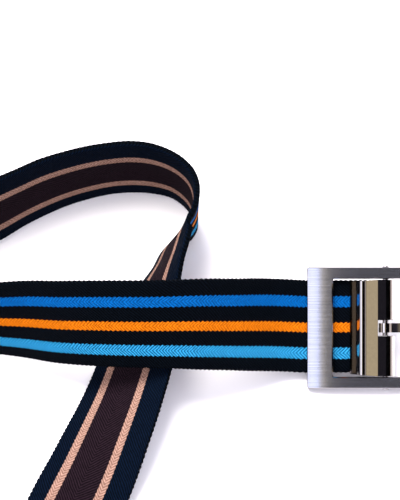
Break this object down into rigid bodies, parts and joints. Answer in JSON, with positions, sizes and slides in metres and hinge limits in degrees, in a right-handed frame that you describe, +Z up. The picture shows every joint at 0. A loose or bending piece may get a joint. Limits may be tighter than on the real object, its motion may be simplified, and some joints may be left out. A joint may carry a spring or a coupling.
{
  "type": "web belt",
  "caption": "Striped reversible web belt with a clamp buckle, laid open in a loop with its free end folded",
  "frame": {"origin": "Middle of the belt's footprint on the table, at the table's height.", "axes": "+Z up off the table, +X along the buckle leg towards the prong bar, +Y away from the free end."},
  "size_m": [0.268, 0.3577, 0.0542],
  "materials": {
    "striped_webbing": "woven twill, matt",
    "brushed_steel": "fine brushed with polished edges",
    "chrome_plate": "polished",
    "plated_steel": "satin"
  },
  "bodies": {
    "strap": {"webbing": "striped_webbing", "belt_tip": "chrome_plate", "eyelets": "chrome_plate", "eyelet_washers": "plated_steel", "clamp_body": "chrome_plate", "jaw_pin": "plated_steel"},
    "frame": {"buckle_frame": "brushed_steel", "pivot_pin": "plated_steel"},
    "jaw": {"clamp_jaw": "plated_steel"},
    "tongue": {"prong": "chrome_plate"}
  },
  "joints": [
    {"name": "frame_swing", "type": "hinge", "parent": "strap", "child": "frame", "pos_m": [0.0982, 0.10425, 0.01388], "axis": [0, 0.866, 0.5], "range_deg": [0, 50]},
    {"name": "prong_swing", "type": "hinge", "parent": "strap", "child": "tongue", "pos_m": [0.0982, 0.10425, 0.01388], "axis": [0, -0.866, -0.5], "range_deg": [0, 105]},
    {"name": "jaw_open", "type": "hinge", "parent": "strap", "child": "jaw", "pos_m": [0.0936, 0.1057, 0.01137], "axis": [0, -0.866, -0.5], "range_deg": [0, 80]}
  ]
}
